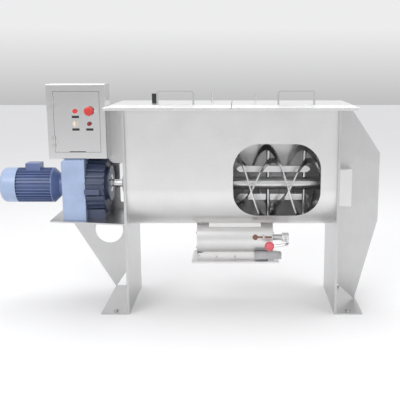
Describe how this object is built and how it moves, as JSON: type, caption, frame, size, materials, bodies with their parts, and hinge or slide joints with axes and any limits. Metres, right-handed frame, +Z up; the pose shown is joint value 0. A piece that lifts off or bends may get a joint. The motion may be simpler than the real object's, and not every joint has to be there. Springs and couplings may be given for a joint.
{
  "type": "ribbon blender",
  "caption": "Ribbon blender: U trough with two hinged lids, double-start ribbon agitator, gearmotor on a side shelf, control box and a lever-turned drum discharge valve.",
  "frame": {"origin": "bottom centre of the whole machine's bounding box, on the floor", "axes": "+X along the agitator shaft from the motor end to the free end, +Y from the front to the back, +Z up"},
  "size_m": [1.698, 0.418, 1],
  "materials": {
    "trough_steel": "brushed stainless sheet, even satin",
    "leg_steel": "brushed stainless plate, darker towards the floor",
    "lid_steel": "bright ground stainless sheet",
    "box_steel": "polished stainless enclosure",
    "inner_steel": "polished stainless, inside the trough",
    "handle_steel": "satin stainless bar",
    "fastener_steel": "plain steel fasteners",
    "machined_steel": "turned and ground steel",
    "gearbox_paint": "light blue machine enamel",
    "drum_paint": "dark blue machine enamel",
    "motor_paint": "mid blue machine enamel",
    "cast_housing": "machined cast iron",
    "winding": "varnished laminations and windings",
    "fan_plastic": "black moulded fan",
    "seal_rubber": "black seal rubber",
    "gasket_rubber": "white food-grade silicone",
    "red_plastic": "glossy red moulding",
    "dark_red_plastic": "dark red moulding",
    "cream_plastic": "cream moulding",
    "black_plastic": "black moulding",
    "grey_plastic": "grey electrical moulding",
    "chrome": "bright chrome plate",
    "ball_plastic": "glossy red ball",
    "knob_brown": "brown phenolic knob",
    "black_label": "plain black plate without markings"
  },
  "bodies": {
    "root": {"trough_shell": "trough_steel", "trough_flange": "lid_steel", "left_end_plate": "leg_steel", "right_end_plate": "leg_steel", "foot_plates": "leg_steel", "screws_and_bolts": "fastener_steel", "right_web_plate": "leg_steel", "bearing_guard": "trough_steel", "bearing_housings": "cast_housing", "bearings": "machined_steel", "shaft_seals": "seal_rubber", "drive_shelf": "leg_steel", "drive_brace": "leg_steel", "drive_back_plates": "leg_steel", "control_box": "box_steel", "switchgear": "grey_plastic", "fixed_hinge_leaves": "handle_steel", "hinge_pins": "machined_steel", "gearbox_case": "gearbox_paint", "gearbox_output_case": "drum_paint", "motor_housing": "motor_paint", "stator": "winding", "fan_cover": "gearbox_paint", "terminal_box": "motor_paint", "valve_body": "trough_steel", "valve_caps": "trough_steel", "discharge_chute": "trough_steel", "chute_apron": "trough_steel", "limit_switch": "grey_plastic"},
    "agitator": {"agitator_shaft": "inner_steel", "spokes_and_tie_bars": "inner_steel", "outer_ribbons": "inner_steel", "inner_ribbons": "inner_steel", "output_gear": "machined_steel"},
    "lay_shaft": {"lay_shaft": "machined_steel"},
    "rotor": {"motor_rotor": "machined_steel", "motor_fan": "fan_plastic"},
    "left_lid": {"left_lid": "lid_steel", "left_lid_gasket": "gasket_rubber", "left_lid_handle": "handle_steel", "lid_sensor": "black_plastic", "left_lid_hinge_leaves": "handle_steel"},
    "right_lid": {"right_lid": "lid_steel", "right_lid_gasket": "gasket_rubber", "right_lid_handle": "handle_steel", "right_lid_hinge_leaves": "handle_steel"},
    "control_door": {"control_door": "box_steel", "button_rings": "chrome", "contact_blocks": "grey_plastic", "label_plates": "black_label"},
    "door_latch": {"door_latch": "chrome"},
    "emergency_stop": {"emergency_stop": "red_plastic"},
    "start_button": {"start_button": "red_plastic"},
    "stop_button": {"stop_button": "dark_red_plastic"},
    "selector": {"selector_knob": "cream_plastic"},
    "valve_plug": {"valve_plug": "inner_steel", "valve_lever": "chrome", "lever_ball": "ball_plastic"},
    "latch_bolt": {"latch_bolt": "knob_brown"}
  },
  "joints": [
    {"name": "agitator_spin", "type": "hinge", "parent": "root", "child": "agitator", "pos_m": [0.185, -0.006, 0.554], "axis": [1, 0, 0], "continuous": true},
    {"name": "lay_shaft_spin", "type": "hinge", "parent": "root", "child": "lay_shaft", "pos_m": [-0.439, 0.02691, 0.48196], "axis": [1, 0, 0], "continuous": true},
    {"name": "rotor_spin", "type": "hinge", "parent": "root", "child": "rotor", "pos_m": [-0.776, -0.006, 0.546], "axis": [1, 0, 0], "continuous": true},
    {"name": "left_lid_hinge", "type": "hinge", "parent": "root", "child": "left_lid", "pos_m": [-0.084, 0.199, 0.907], "axis": [-1, 0, 0], "range_deg": [0, 95]},
    {"name": "right_lid_hinge", "type": "hinge", "parent": "root", "child": "right_lid", "pos_m": [0.454, 0.199, 0.907], "axis": [-1, 0, 0], "range_deg": [0, 95]},
    {"name": "control_door_hinge", "type": "hinge", "parent": "root", "child": "control_door", "pos_m": [-0.5806, -0.1158, 0.838], "axis": [0, 0, -1], "range_deg": [0, 110]},
    {"name": "door_latch_turn", "type": "hinge", "parent": "control_door", "child": "door_latch", "pos_m": [-0.397, -0.111, 0.885], "axis": [0, 1, 0], "range_deg": [0, 90]},
    {"name": "emergency_stop_press", "type": "slide", "parent": "control_door", "child": "emergency_stop", "axis": [0, 1, 0], "range_m": [0, 0.005], "stiffness_N_per_m": 2000},
    {"name": "start_button_press", "type": "slide", "parent": "control_door", "child": "start_button", "axis": [0, 1, 0], "range_m": [0, 0.003], "stiffness_N_per_m": 1000},
    {"name": "stop_button_press", "type": "slide", "parent": "control_door", "child": "stop_button", "axis": [0, 1, 0], "range_m": [0, 0.003], "stiffness_N_per_m": 1000},
    {"name": "selector_turn", "type": "hinge", "parent": "control_door", "child": "selector", "pos_m": [-0.487, -0.111, 0.831], "axis": [0, 1, 0], "range_deg": [-45, 45]},
    {"name": "valve_turn", "type": "hinge", "parent": "root", "child": "valve_plug", "pos_m": [0.198, -0.006, 0.301], "axis": [1, 0, 0], "range_deg": [0, 90]},
    {"name": "latch_bolt_slide", "type": "slide", "parent": "root", "child": "latch_bolt", "axis": [-1, 0, 0], "range_m": [0, 0.014]}
  ],
  "couplings": [
    {"joint": "lay_shaft_spin", "follows": "agitator_spin", "ratio": -5},
    {"joint": "rotor_spin", "follows": "agitator_spin", "ratio": 25}
  ]
}
